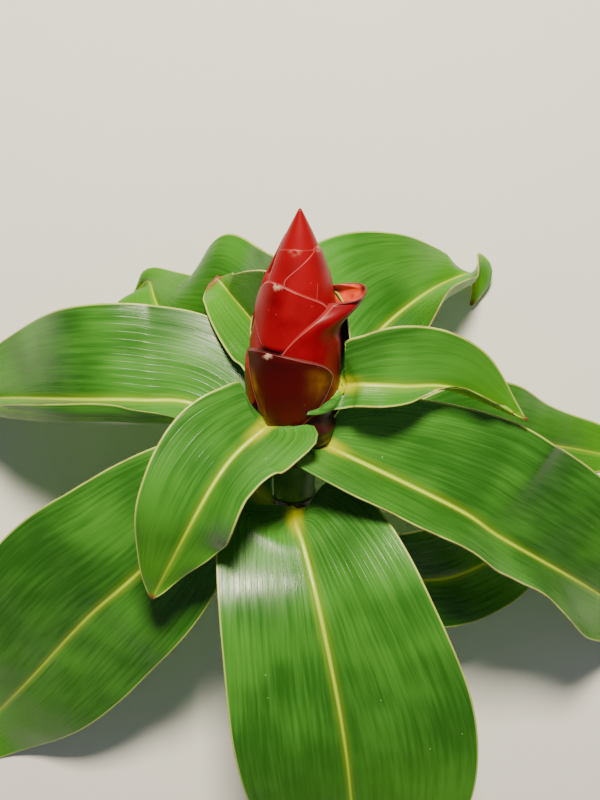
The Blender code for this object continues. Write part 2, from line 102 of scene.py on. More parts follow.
# what a leaf says here goes before what PLAIN_LEAF says
LEAVES = {
    "leaf_left": dict(
        foot=(0, -96, 8.6), mid=((-40.9, 18.1, 79), (-64.8, 20.6, 80), (-90.2, 19.8, 72),
                                 (-131, 14, 27), (-150, 8, 2), (-172, 1, -2)),
        wide=(29, 39), form=((0.6, 0.9), (0.6, 1.1)),
        fold=((52, 78, 35, 165), (-5, -15, 0, -10)), turn=(0.08, 0.38), sweep=(0.1, 0.1),
        wave=((1, 2, 0, 0), (2, 2.5, 60, 0))),
    "leaf_lower_left": dict(
        foot=(-24, -85, 8.3), mid=((-30, -14, 84), (-67, -52, 78), (-91, -76, 62),
                                   (-124, -116, 30), (-150, -146, 3), (-174, -170, -2)),
        wide=(36, 49), form=((0.75, 0.8), (0.7, 0.9)),
        fold=((12, 0, 12, -8), (10, 0, 10, -8)), sweep=(0.8, 0.9),
        lobe=(0.12, 1.5), wave=((1.5, 2, 0, 0), (1.5, 2, 60, 0))),
    "leaf_front_left": dict(
        foot=(22.5, -35, 12.5), mid=((-23.5, 6, 117), (-31.4, -3.4, 123), (-40, -18, 124),
                                     (-51, -40, 114), (-59, -56, 104)),
        wide=(25.8, 26.7), form=((0.1, 0.91), (0.32, 0.83)), turn=(0.33, 0.74),
        fold=((64, 44, -8, -10), (13, 8, 22, -1)), sweep=(1.52, 0.96), lobe=(0.17, 2.8),
        sink=3.0, wave=((1.7, 3.92, 182, 0), (1, 2, 60, 0))),
    "leaf_front": dict(
        foot=(-20, 8, 8.5), mid=((-1.7, -26, 98), (2, -36, 106), (8.6, -62, 116),
                                 (16.4, -104, 110), (21, -143, 94), (25, -201, 62)),
        wide=(53.4, 44.2), form=((0.71, 0.68), (0.5, 0.54)),
        fold=((21, 7, 14, -6), (15, 3.5, 14, -6)), sweep=(0.9, 1.3), lobe=(0.42, 1.5)),
    "leaf_right": dict(
        foot=(8, 65, 9.5), mid=((14.5, 3.3, 100.5), (62.8, -21.5, 93.5), (83, -36.6, 81),
                                (127.5, -68.3, 43), (162, -98, 3), (188, -118, -2)),
        wide=(44, 25.6), form=((0.57, 0.9), (0.1, 0.49)), neck=0.03, turn=(0.41, 0.69),
        fold=((2, -4, 10, -6), (70, 70, 18, 37)), sweep=(0.33, 0.65), lobe=(0.27, 1.18),
        wave=((2, 2, 0, 0), (3, 1.97, 21, 0))),
    "leaf_upper_right": dict(
        foot=(33, 84, 15.5), mid=((20.5, 31.2, 113), (25, 31.6, 115.5), (40, 30.9, 115),
                                  (60, 29, 108), (90, 15, 98)),
        wide=(24, 9), form=((0.72, 1.2), (0.05, 0.8)), neck=0.03, turn=(0.32, 0.66),
        fold=((8, 20, 26, 13), (20, 34, 90, 145)), sweep=(0.35, 0.6), lobe=(0.18, 1.1),
        ear=(7.5, 58, 0.14), sink=2.0, snug=0.9,
        wave=((1, 2, 0, 0), (4, 2.23, 248, 0))),
    "leaf_back_right": dict(
        foot=(-4, 138, 8.6), mid=((22, 32, 66), (34, 47, 55), (51, 59, 38), (66, 65.5, 20),
                                  (78, 67, 9), (77.6, 53, 3)),
        wide=(49, 25), form=((0.9, 1.83), (0.9, 0.95)),
        fold=(PLAIN_SLOPE, (22, 26, 45, 135)), turn=(0.2, 0.62), calm=0.97,
        twist=(-110, 0.8, 0.92), wave=((2, 2, 0, 0), (1, 2, 60, 0))),
    "leaf_back_left": dict(
        foot=(-13, -128, 8.2), mid=((-18, 30, 55), (-57, 50, 36), (-67, 65, 20),
                                    (-77, 53, 6)),
        wide=(24, 60), form=((0.9, 0.9), (1.1, 2.1)), turn=(0.27, 0.59),
        fold=(PLAIN_SLOPE, (54, 62, 38, -15)), sweep=(0.0, 0.2),
        wave=((2, 2, 0, 0), (4.5, 4.63, 235, 0.5))),
    "leaf_back": dict(
        foot=(6, -160, 9.4), mid=((-7.7, 35.4, 78), (-17, 49, 71), (-34.7, 69.7, 62)),
        wide=(18.8, 50), form=((0.4, 0.41), (1.34, 1.31)), turn=(0.13, 0.32),
        fold=((-19, -12, 43, 34), (32, 34, 66, 62)), sweep=(0.1, 0.1),
        wave=((0, 2, 0, 0), (4, 1.13, 187, 0))),
    "leaf_far_right": dict(
        foot=(-32, 95, 8.0), mid=((36, -7, 68), (66, 1, 50), (106, -7, 23),
                                  (136, -15, 2), (160, -22, -2)),
        wide=(22, 20), form=((0.8, 0.8), (0.8, 0.9)),
        wave=((3, 2.2, 60, 1), (1, 2, 60, 0))),
    "leaf_lower_right": dict(
        foot=(-42, 40, 8.3), mid=((34, -56, 66), (65, -62, 47), (98, -53, 22),
                                  (120, -42, 2), (140, -31, -2)),
        wide=(26, 22), form=((0.8, 0.8), (0.8, 0.8)),
        sweep=(0.8, 0.8), lobe=(0.15, 1.5)),
}

# side: where the bract's point is; top: its height; foot: where it leaves the core
# reach: angle that it covers to the left and right of its point
# drop: how far its rim falls on each side; blunt: how pointed it is there (small is round)
# waist: how much of its width is left at its foot; flank: how slowly it widens from there
# step: how far its rim stands off the bract above it, if not by the panel's step
# sunk: how far its lower part lies under the cone's skin
# open: how far its point bends out
PLAIN_BRACT = dict(blunt=(0.8, 0.8), waist=(0.3, 0.3), flank=(0.8, 0.8), sunk=0.5, open=0.0)
BRACTS = (
    dict(side=-33, top=55.6, reach=(38, 97), drop=(3.5, 12.5), blunt=(0.6, 0.45), foot=21.5,
         waist=(0.0, 0.35), flank=(1.05, 0.8), step=0.9, sunk=-0.45),
    dict(side=150, top=46, reach=(50, 52), drop=(7, 9), foot=20, step=0.3),
    dict(side=-156, top=50, reach=(52, 50), drop=(7, 9), foot=20, step=0.3),
    dict(side=-106, top=46, reach=(62, 70), drop=(6, 6), foot=20, step=-0.25, sunk=0.3),
    dict(side=95, top=73.8, reach=(130, 56), drop=(22, 7), blunt=(0.48, 0.6), foot=26,
         open=11.4, sunk=0.3),
    dict(side=-38, top=81.3, reach=(56, 97), drop=(9, 9.5), blunt=(0.4, 0.7), foot=56,
         waist=(0.0, 0.5), sunk=0.35),
    dict(side=175, top=74, reach=(64, 64), drop=(8, 9), foot=34, sunk=0.5),
    dict(side=-140, top=85, reach=(60, 48), drop=(7, 8), foot=40, step=0.3, sunk=0.5),
    dict(side=66, top=93.5, reach=(105, 60), drop=(11, 8), blunt=(0.7, 0.8), foot=50, sunk=0.6),
    dict(side=-14, top=93.8, reach=(64, 66), drop=(2.4, 1.0), foot=55, step=0.5, sunk=0.7),
    dict(side=150, top=90, reach=(60, 60), drop=(6, 6), foot=52, step=0.4, sunk=0.7),
    dict(side=-150, top=98, reach=(60, 60), drop=(4, 4), foot=60, step=0.3, sunk=0.8),
)
# How ripe each bract's skin is: 0 is clear red, 1 the brown maroon of the oldest one.
RIPENESS = (1.0, 0.35, 0.3, 0.3, 0.22, 0.15, 0.2, 0.1, 0.05, 0.0, 0.05, 0.0)
# How pale each bract's margin is.
PALENESS = (0.9, 0.3, 0.3, 0.1, 0.7, 0.9, 0.3, 0.1, 0.6, 0.25, 0.2, 0.0)
SCAR_DROP = 6.5          # distance of the nectar scar below a bract's point
BRACT_COLUMNS = 49
OLD = 0.9                # ripeness from which a bract shows olive patches
BRACT_RUN = 12.0         # length over which a bract's rim rises off the one above it

_tilt = math.radians(CANE_TILT)
ALONG = np.array([0.0, math.cos(_tilt), math.sin(_tilt)])
FRONT = np.array([0.0, -math.sin(_tilt), math.cos(_tilt)])
RIGHT = np.array([1.0, 0.0, 0.0])
CROWN = np.array([0.0, 0.0, CROWN_HEIGHT])


# ---- shapes ---------------------------------------------------------------------------
def smooth(x, lo=0.0, hi=1.0):
    """Smooth step from 0 at lo to 1 at hi."""
    x = np.clip((np.asarray(x, float) - lo) / (hi - lo), 0.0, 1.0)
    return x * x * (3.0 - 2.0 * x)


def unit(v):
    """Vectors of length 1 in the directions of the given ones."""
    return v / np.maximum(np.linalg.norm(v, axis=-1, keepdims=True), 1e-9)


def axis_point(d):
    """Points of the cane's axis, d millimetres above the crown (negative: below)."""
    d = np.asarray(d, float)[..., None]
    low = np.maximum(0.0, -d - CANE_STRAIGHT) / (CANE_LENGTH - CANE_STRAIGHT)
    bend = FRONT * CANE_BEND_UP * low ** 2 + RIGHT * CANE_BEND_SIDE * low ** 2
    lean = CONE_LEAN * smooth(d, 2.0, 22.0) * (1.0 - smooth(d, 25.0, CONE_TO))
    lean = lean + CANE_LEAN * smooth(d, -110.0, -50.0) * (1.0 - smooth(d, -14.0, 8.0))
    return CROWN + ALONG * d + bend + RIGHT * lean


def around(d, az, r):
    """Points at radius r from the axis; az 0 is the front, 90 the right-hand side."""
    a = np.radians(np.asarray(az, float))[..., None]
    r = np.asarray(r, float)[..., None]
    return axis_point(d) + r * (np.sin(a) * RIGHT + np.cos(a) * FRONT)


def curve(points, count):
    """Evenly spaced points on a smooth curve through the given ones, and its length."""
    p = np.array(points, float)
    p = np.vstack([2 * p[0] - p[1], p, 2 * p[-1] - p[-2]])
    out = []
    for i in range(1, len(p) - 2):
        t = np.linspace(0.0, 1.0, 40, endpoint=i == len(p) - 3)[:, None]
        a, b, c, d = p[i - 1], p[i], p[i + 1], p[i + 2]
        out.append(0.5 * (2 * b + (c - a) * t + (2 * a - 5 * b + 4 * c - d) * t ** 2
                          + (3 * b - a - 3 * c + d) * t ** 3))
    line = np.vstack(out)
    run = np.concatenate([[0.0], np.cumsum(np.linalg.norm(np.diff(line, axis=0), axis=1))])
    at = np.linspace(0.0, run[-1], count)
    return np.stack([np.interp(at, run, line[:, k]) for k in range(3)], axis=1), run[-1]


def half_width(s, greatest, form, neck):
    """Half width of the blade: a narrow foot, a belly and a drawn-out tip."""
    m, n = form
    belly = m / (m + n)
    s = np.clip(s, 1e-4, 1.0 - 1e-4)
    full = greatest * (s / belly) ** m * ((1.0 - s) / (1.0 - belly)) ** n
    foot = smooth(s, 0.15 * neck, neck)
    return np.maximum(PETIOLE * (1.0 - foot) + full * foot, 0.5)


def blade_width(leaf, k, s):
    """Half width of one blade of a leaf, with the ear that its right-hand foot may have."""
    extra, _, reach = leaf["ear"]
    width = half_width(s, leaf["wide"][k], leaf["form"][k], leaf["neck"])
    return width + k * extra * (1.0 - smooth(s, 0.0, reach)) * smooth(s, 0.0, 0.02)


def blade(leaf, k, mid, frames, steps):
    """Lines of points from midrib to margin of the left (k 0) or right (k 1) blade."""
    along, side, face = frames
    s = np.linspace(0.0, 1.0, len(mid))
    width = blade_width(leaf, k, s)
    near_in, near_out, far_in, far_out = leaf["fold"][k]
    ease = smooth(s, *leaf["turn"])
    flat = 1.0 - smooth(s, leaf["calm"], 1.0)
    slope, reach = leaf["ear"][1:]
    raised = k * slope * (1.0 - smooth(s, 0.0, reach))
    inner = (near_in + (far_in - near_in) * ease) * flat + raised
    outer = (near_out + (far_out - near_out) * ease) * flat + raised
    height, count, phase, share = leaf["wave"][k]
    lift = height * np.sin(2 * math.pi * count * s + math.radians(phase))
    lift = lift * np.sin(math.pi * s) ** 0.5
    reach, power = leaf["lobe"]
    back = leaf["sweep"][k] * (1.0 - smooth(s, 0.0, reach)) ** power
    turned, start, end = leaf["twist"]
    spin = np.radians(turned * smooth(s, start, end))[:, None]
    side, face = (side * np.cos(spin) + face * np.sin(spin),
                  face * np.cos(spin) - side * np.sin(spin))
    side = side * (1.0, -1.0)[k]
    lines, out, up, last = [], np.zeros(len(s)), np.zeros(len(s)), 0.0
    for t in steps[1:]:
        # three short strides to a column follow the blade's changing slope
        for u in np.linspace(last, t, 4)[1:]:
            slope = np.radians(inner + (outer - inner) * u ** 1.2)
            out = out + width * (t - last) / 3 * np.cos(slope)
            up = up + width * (t - last) / 3 * np.sin(slope)
        last = t
        over = out + lift * share * t ** 2
        lines.append(mid + side * over[:, None] + face * (up + lift * t ** 2)[:, None]
                     - along * (back * width * t ** 1.5)[:, None])
    return lines


def sheath_rims():
    """(distance, side) of every sheath's rim on the cane, from the cut end up."""
    feet = [(leaf["foot"][0] - 5.0, leaf["foot"][1]) for leaf in LEAVES.values()
            if leaf["foot"][0] < -6.0]
    return sorted(list(RIMS) + feet)


def bare_radius(d):
    """Radius of the cane without its sheaths."""
    return np.interp(d, (-CANE_LENGTH, -120.0, -60.0, -30.0, 0.0, 8.0, 17.0),
                     (CANE_RADIUS, CANE_RADIUS, 7.2, 8.3, 8.6, 9.6, 12.2))


def cone_radius(d):
    """Radius of the cone to the skin of its bracts."""
    return np.interp(d, CONE_AT, CONE_R)


def off_the_axis(points, clear):
    """Push points out of the cane and the cone, so that leaves sit just off their skin."""
    d = (points - CROWN) @ ALONG
    mid = axis_point(d)
    away = points - mid
    away = away - (away @ ALONG)[..., None] * ALONG
    r = np.linalg.norm(away, axis=-1)
    # the rims of sheaths and bracts stand off the skin; further down no leaf comes near it
    skin = np.where(d < CONE_FROM - 2.0, bare_radius(d) + 0.2, cone_radius(d) + 1.25)
    short = np.where((d > -60.0) & (d < CONE_TO), np.maximum(skin + clear - r, 0.0), 0.0)
    return points + unit(away) * short[..., None]


def ring_round(top, right, low, left):
    """A ring a row: along the top, round the right margin, back below, round the left."""
    ring = [top[:, i] for i in range(top.shape[1])] + right
    ring += [low[:, i] for i in range(top.shape[1] - 1, -1, -1)] + left
    return np.stack(ring, axis=1)


def loops_of(top, low):
    """Rings of points round a thin sheet, one ring a row, with rounded margins."""
    deep = low - top

    def rounded(i, j):
        out = unit(top[:, i] - top[:, j]) * np.linalg.norm(deep[:, i], axis=1)[:, None]
        return [top[:, i] + share * deep[:, i] + 0.26 * out for share in (0.22, 0.78)]

    return ring_round(top, rounded(-1, -2), low, rounded(0, 1)[::-1])


def ring_values(values):
    """A grid's values put on the ring of points that loops_of makes from it."""
    return ring_round(values, [values[:, -1]] * 2, values, [values[:, 0]] * 2)


def put(name, data):
    """A new object in the scene."""
    made = bpy.data.objects.new(name, data)
    bpy.context.scene.collection.objects.link(made)
    return made


def mesh_piece(name, points, faces, materials, marks, index=None):
    """A smooth-shaded mesh object, with the named per-point values its materials read."""
    flat = np.asarray(points, float).reshape(-1, 3)
    world = (flat - np.array([*MIDDLE, 0.0])) * MM
    mesh = bpy.data.meshes.new(name)
    mesh.from_pydata(world.tolist(), [], faces)
    for material in materials:
        mesh.materials.append(material)
    mesh.polygons.foreach_set("use_smooth", [True] * len(mesh.polygons))
    if index is not None:
        mesh.polygons.foreach_set("material_index", index)
    for key, value in marks.items():
        layer = mesh.attributes.new(key, "FLOAT_VECTOR", "POINT")
        layer.data.foreach_set("vector", np.asarray(value, np.float32).reshape(-1))
    mesh.update()
    mesh.validate()
    return put(name, mesh)


def tube_faces(rows, count, start=0):
    """Faces of a tube whose rings of count points follow one another from start on."""
    return [(a + c, a + (c + 1) % count, a + count + (c + 1) % count, a + count + c)
            for a in range(start, start + (rows - 1) * count, count) for c in range(count)]


def sheet_piece(name, top, low, materials, marks):
    """A thin closed sheet: materials are its upper face, its underside and its margin."""
    rings = loops_of(top, low)
    rows, count = rings.shape[:2]
    cols = top.shape[1]
    kinds = [0] * (cols - 1) + [2] * 3 + [1] * (cols - 1) + [2] * 3
    faces, index = [], []
    for r in range(rows - 1):
        for c in range(count):
            a, b = r * count + c, r * count + (c + 1) % count
            faces.append((a, a + count, b + count, b))
            index.append(kinds[c])
    for start in (0, (rows - 1) * count):
        for c in range(cols - 1):
            a, b = start + c, start + c + 1
            e, f = start + 2 * cols + 1 - c, start + 2 * cols - c
            faces.append((a, b, f, e) if start == 0 else (a, e, f, b))
            index.append(2)
        left = (start, start + 2 * cols + 1, start + 2 * cols + 2, start + 2 * cols + 3)
        right = (start + cols - 1, start + cols, start + cols + 1, start + cols + 2)
        faces += [left, right] if start == 0 else [left[::-1], right[::-1]]
        index += [2, 2]
    ring_marks = {key: np.stack([ring_values(v) for v in value], axis=-1)
                  for key, value in marks.items()}
    return mesh_piece(name, rings, faces, materials, ring_marks, index)


def from_the_margin(grid):
    """Distance of every point of a sheet from its two side margins."""
    rim = np.concatenate([grid[:, 0], grid[:, -1]])
    flat = grid.reshape(-1, 3)
    near = np.full(len(flat), 1e9)
    for part in np.array_split(np.arange(len(flat)), 40):
        gap = np.linalg.norm(flat[part][:, None] - rim[None], axis=2)
        near[part] = gap.min(axis=1)
    return near.reshape(grid.shape[:2])


# ---- colours and materials --------------------------------------------------------------
def linear(text):
    """Linear red, green and blue of an sRGB hex colour."""
    parts = [int(text[i:i + 2], 16) / 255.0 for i in (1, 3, 5)]
    return [c / 12.92 if c <= 0.04045 else ((c + 0.055) / 1.055) ** 2.4 for c in parts]


def feed(node, inputs):
    """Set a node's inputs to values, nodes or sockets."""
    for socket, value in inputs.items():
        if isinstance(value, bpy.types.Node):
            value = next(out for out in value.outputs if out.enabled)
        if isinstance(value, bpy.types.NodeSocket):
            node.id_data.links.new(value, node.inputs[socket])
        else:
            node.inputs[socket].default_value = value


def add(near, kind, inputs, **settings):
    """Add a shader node to the tree of another node or socket."""
    made = near.id_data.nodes.new("ShaderNode" + kind)
    for field, value in settings.items():
        setattr(made, field, value)
    feed(made, inputs)
    return made


A, B = 6, 7              # the colour sockets of a Mix node


def blank(name):
    """A new material: it, its shader, the flower's colours and the place that its textures
    follow."""
    material = bpy.data.materials.new(name)
    material.use_nodes = True
    shader = material.node_tree.nodes["Principled BSDF"]
    place = add(shader, "TexCoord", {}).outputs["Object"]
    return material, shader, bpy.context.scene.flower_colours, place


def carried(near, name):
    """Sockets of three values that a skin's points carry under one name.
    blade: vein count, distances from the rib and the margin, in millimetres
    grow: share of the way from foot to tip, distances from the foot and the tip
    skin: of a bract, distance from its margin, ripeness, distance from its point;
          of the cane, distance below the sheath's rim (on the cut face, from its edge)
          and turn round the axis
    spot: of a bract, its scar, its olive patch and how pale its margin is"""
    read = add(near, "Attribute", {}, attribute_name=name).outputs["Vector"]
    return add(near, "SeparateXYZ", {0: read}).outputs


def maths(kind, *values):
    """A Math node of the given kind; the first value is a node or a socket."""
    return add(values[0], "Math", dict(enumerate(values)), operation=kind)


def tint(amount, under, over):
    """Mix of two colours, given as triples or nodes, by a node's amount."""
    under, over = (c if isinstance(c, bpy.types.Node) else (*c, 1.0) for c in (under, over))
    return add(amount, "Mix", {0: amount, A: under, B: over}, data_type="RGBA")


def ramp(value, low, high, start=0.0, end=1.0, kind="SMOOTHSTEP"):
    """Step of a value from start (at low) to end (at high)."""
    return add(value, "MapRange", {0: value, 1: low, 2: high, 3: start, 4: end},
               interpolation_type=kind)


def times(first, second):
    return maths("MULTIPLY", first, second)


def clouds(place, size, detail):
    """Noise in patches about size millimetres across."""
    return add(place, "TexNoise", {"Vector": place, "Scale": 1000 / size, "Detail": detail})


def dots(place, size, kept):
    """Cells about size millimetres across: the distance from their middle, and which of
    them are kept (1), the rarer the higher the number."""
    cells = add(place, "TexVoronoi", {"Vector": place, "Scale": 1000 / size})
    chance = add(place, "SeparateXYZ", {0: cells.outputs["Color"]})
    return cells.outputs["Distance"], maths("GREATER_THAN", chance, kept)


def bumps(strength, height, pattern):
    """Relief of a pattern, with its height in millimetres."""
    return add(pattern, "Bump", {"Strength": strength, "Distance": height * MM,
                                 "Height": pattern})


def vein_lines(vein, count, half):
    """Lines along the veins: count of them to a main vein, half a line's width."""
    return ramp(maths("PINGPONG", times(vein, count), 0.5), half, 0.0)


def leaf_top_material():
    # Living leaf, upper side: a smooth waxed cuticle over green flesh.  It gives the eye a
    # clear green with paler parallel veins, a yellow rib and streaked satin highlights.
    material, shader, colours, place = blank("leaf_cuticle")
    vein, rib, edge = carried(place, "blade")
    share, foot, tip = carried(place, "grow")
    # slow clouds, and streaks along the veins about 45 mm long
    cloud = clouds(place, 40, 2.0)
    run = add(place, "CombineXYZ", {0: vein, 1: times(foot, 1 / 45)})
    streak = add(place, "TexNoise", {"Vector": run, "Scale": 1.6, "Detail": 5.0})
    hair = add(place, "TexNoise", {"Vector": run, "Scale": 9.0, "Detail": 2.0})
    tone = maths("MULTIPLY_ADD", streak, 0.3, times(cloud, 0.7))
    green = tint(ramp(tone, 0.36, 0.64), colours.leaf_deep, colours.leaf_clear)
    # towards the tip the flesh is thinner and yellower
    green = tint(ramp(share, 0.4, 1.0, 0.0, 0.6), green, colours.leaf_young)
    # hair-fine veins, then the main veins about 3 mm apart, both broken up along their run;
    # they are paler towards the foot, partly real veins and partly painted sheen along them
    broken = ramp(streak, 0.35, 0.65, 0.25, 1.0)
    vein_and_sheen = times(broken, ramp(share, 0.7, 0.05, 0.03, 0.2))
    main_vein, fine = vein_lines(vein, 1.0, 0.06), vein_lines(vein, 6.0, 0.4)
    green = tint(times(fine, times(vein_and_sheen, 0.6)), green, colours.vein)
    green = tint(times(main_vein, times(vein_and_sheen, 0.8)), green, colours.vein)
    # the rib is about 3 mm wide at the foot and under 1 mm near the tip
    rib_at = maths("DIVIDE", rib, ramp(share, 0.0, 0.9, 1.25, 0.5, "LINEAR"))
    green = tint(ramp(rib_at, 4.0, 0.6, 0.0, 0.18), green, colours.rib)
    core = times(ramp(rib_at, 1.0, 0.15), ramp(share, 0.3, 1.0, 0.95, 0.55))
    green = tint(core, green, colours.rib)
    # a yellow patch where the blade leaves its stalk
    yellow = times(ramp(foot, 17.0, 5.0), ramp(rib, 5.5, 1.0, 0.0, 0.9))
    green = tint(yellow, green, colours.stalk)
    # cream margin half a millimetre wide beyond the foot, and a dried point
    cream = times(ramp(edge, 0.75, 0.2, 0.0, 0.7), ramp(share, 0.03, 0.12))
    green = tint(cream, green, colours.margin)
    green = tint(ramp(tip, 4.0, 0.8, 0.0, 0.95), green, colours.dried)
    # pale specks under half a millimetre across, a few to a square centimetre
    away, kept = dots(place, 6.5, 0.8)
    speck = times(ramp(away, 0.05, 0.025, 0.0, 0.7), kept)
    green = tint(speck, green, linear("#B8CC90"))
    relief = maths("MULTIPLY_ADD", hair, 1.4, main_vein)
    feed(shader, {"Base Color": green, "Normal": bumps(0.35, 0.12, relief),
                  "Roughness": ramp(streak, 0.3, 0.7, 0.25, 0.37),
                  "Specular IOR Level": 0.36})
    return material


def leaf_under_material():
    # Living leaf, underside: thinner skin without wax.  Paler, yellower green, matt, with
    # the same veins standing out; its bright yellow green is partly its own and partly painted
    # light shining through the thin leaf.
    material, shader, colours, place = blank("leaf_underside")
    vein, rib, edge = carried(place, "blade")
    tip = carried(place, "grow")[2]
    cloud = clouds(place, 20, 3.0)
    green = tint(ramp(cloud, 0.35, 0.65), colours.under, colours.under_pale_and_glow)
    line = vein_lines(vein, 2.0, 0.2)
    green = tint(times(line, 0.16), green, colours.vein)
    green = tint(ramp(rib, 2.6, 1.0, 0.0, 0.7), green, colours.rib)
    green = tint(ramp(edge, 0.9, 0.3, 0.0, 0.7), green, colours.margin)
    green = tint(ramp(tip, 4.0, 0.8, 0.0, 0.9), green, colours.dried)
    feed(shader, {"Base Color": green, "Roughness": 0.5, "Normal": bumps(0.5, 0.2, line)})
    return material


def leaf_margin_material():
    # The leaf's hard horny rim, dried a little: cream with reddish brown stretches.
    material, shader, colours, place = blank("leaf_rim")
    share, _, tip = carried(place, "grow")
    patch = ramp(clouds(place, 9, 2.0), 0.35, 0.65, 0.1, 0.8)
    base = tint(patch, colours.margin, colours.rim)
    # fresh and green where the blade joins the cane
    base = tint(ramp(share, 0.12, 0.04), base, colours.leaf_clear)
    base = tint(ramp(tip, 5.0, 1.5), base, colours.dried)
    feed(shader, {"Base Color": base, "Roughness": 0.45})
    return material


def ripe_red(place, ripe, colours):
    """The clouds of a bract's skin, and its colour by its ripeness."""
    cloud = clouds(place, 9, 4.0)
    age = maths("ADD", ramp(cloud, 0.3, 0.7, -0.12, 0.12, "LINEAR"), ripe)
    red = tint(ramp(age, 0.0, 0.5), colours.bract, colours.bract_deep)
    return cloud, tint(ramp(age, 0.5, 0.95), red, colours.bract_old)


def bract_material():
    # Fleshy bract with a bloom of wax: deep clear red, satin, browner and darker with age,
    # with a pale hairline margin and a dark nectar scar below its point.
    material, shader, colours, place = blank("bract_skin")
    edge, ripe, apex = carried(place, "skin")
    scar, olive, pale = carried(place, "spot")
    cloud, red = ripe_red(place, ripe, colours)
    red = tint(times(scar, 0.75), red, colours.scar)
    red = tint(times(olive, ramp(cloud, 0.35, 0.6, 0.3, 1.0)), red, colours.olive)
    # the margin's hairline, under half a millimetre wide
    hairline = times(ramp(edge, 0.42, 0.1), pale)
    red = tint(hairline, red, colours.bract_margin)
    # the dry torn point of a bract with a pale margin
    torn = ramp(clouds(place, 2.2, 3.0), 0.42, 0.56)
    point = times(ramp(apex, 3.4, 0.8), pale)
    red = tint(times(point, torn), red, colours.torn)
    # pale pores under 0.3 mm across
    away, kept = dots(place, 2.6, 0.82)
    pore = times(ramp(away, 0.12, 0.05, 0.0, 0.3), kept)
    red = tint(pore, red, colours.bract_margin)
    grain = bumps(0.12, 0.2, clouds(place, 0.9, 2.0))
    feed(shader, {"Base Color": red, "Normal": grain, "Roughness": 0.38,
                  "Specular IOR Level": 0.22})
    return material


def bract_inside_material():
    # Inner face of a bract: unwaxed, orange salmon flesh that darkens towards its point.
    material, shader, colours, place = blank("bract_inner_face")
    edge, _, apex = carried(place, "skin")
    patch = ramp(clouds(place, 3, 4.0), 0.35, 0.65, 0.0, 0.6)
    flesh = tint(patch, colours.inner, colours.bract)
    flesh = tint(ramp(edge, 1.6, 0.4, 0.0, 0.8), flesh, colours.scar)
    flesh = tint(ramp(apex, 4.5, 1.0, 0.0, 0.9), flesh, colours.scar)
    feed(shader, {"Base Color": flesh, "Roughness": 0.5})
    return material


def bract_rim_material():
    # The side of a bract's margin: the same red flesh, a little paler, and brown where the
    # point has dried.
    material, shader, colours, place = blank("bract_rim")
    _, ripe, apex = carried(place, "skin")
    pale = carried(place, "spot")[2]
    red = ripe_red(place, ripe, colours)[1]
    red = tint(times(pale, 0.12), red, colours.bract_margin)
    red = tint(times(ramp(apex, 7.0, 3.0), ripe), red, colours.scar)
    feed(shader, {"Base Color": red, "Roughness": 0.5, "Specular IOR Level": 0.22})
    return material


def cane_material():
    # Green cane in its leaf sheaths: satin green skin with fine lengthwise lines, and at the
    # mouth of every sheath a dark band, partly its dried brown papery rim and partly painted
    # shade of the hollow between the cane and the leaf's foot.
    material, shader, colours, place = blank("cane_sheath")
    rim, turn, _ = carried(place, "skin")
    cloud = ramp(clouds(place, 12, 4.0), 0.35, 0.65)
    green = tint(cloud, colours.cane, colours.cane_pale)
    # ribs of the sheath, about 0.8 mm apart round a cane 14 mm thick
    line = vein_lines(turn, 56.0, 0.28)
    green = tint(times(line, 0.05), green, colours.vein)
    # yellow flush below each rim, then the dark band: the dried rim and painted shade of the
    # hollow in the sheath's mouth
    green = tint(ramp(rim, 7.0, 1.0, 0.0, 0.35), green, colours.stalk)
    torn = maths("MULTIPLY_ADD", clouds(place, 2.0, 2.0), -1.6, rim)
    green = tint(ramp(torn, 3.4, 2.0, 0.0, 0.95), green, colours.rim_and_hollow_shade)
    feed(shader, {"Base Color": green, "Roughness": 0.45, "Normal": bumps(0.15, 0.2, line)})
    return material


def pith_material():
    # The cut face of the cane: wet pale pith with darker bundles inside a green rind.
    material, shader, colours, place = blank("cut_pith")
    inset = carried(place, "skin")[0]
    cells = add(place, "TexVoronoi", {"Vector": place, "Scale": 1000 / 1.3})
    bundles = ramp(cells.outputs["Distance"], 0.35, 0.15)
    pith = tint(bundles, linear("#D9D9A6"), linear("#8E8A4C"))
    pith = tint(ramp(inset, 1.1, 0.6), pith, colours.cane)
    feed(shader, {"Base Color": pith, "Roughness": 0.35})
    return material


def neck_material():
    # Skin of the neck below the cone: dark maroon and satin, with redder patches; the dark
    # maroon is partly its own colour and partly painted shade under the cone.
    material, shader, colours, place = blank("neck_skin_and_shade")
    cloud = clouds(place, 7, 3.0)
    dark = tint(ramp(cloud, 0.35, 0.65), colours.neck, colours.neck_red)
    feed(shader, {"Base Color": dark, "Roughness": 0.4, "Normal": bumps(0.15, 0.2, cloud)})
    return material


def table_material():
    # Matt painted board: an even pale grey with a faint mottle.
    material, shader, _, place = blank("painted_board")
    cloud = add(place, "TexNoise", {"Vector": place, "Scale": 6.0, "Detail": 3.0})
    pale = tint(cloud, linear("#DEDDD8"), linear("#E4E3DF"))
    feed(shader, {"Base Color": pale, "Roughness": 0.85})
    return material


# ---- settings that a user would change ---------------------------------------------------
def colour(name, text, hexa):
    return FloatVectorProperty(name=name, description=text, subtype="COLOR", size=3,
                               min=0.0, max=1.0, default=linear(hexa))


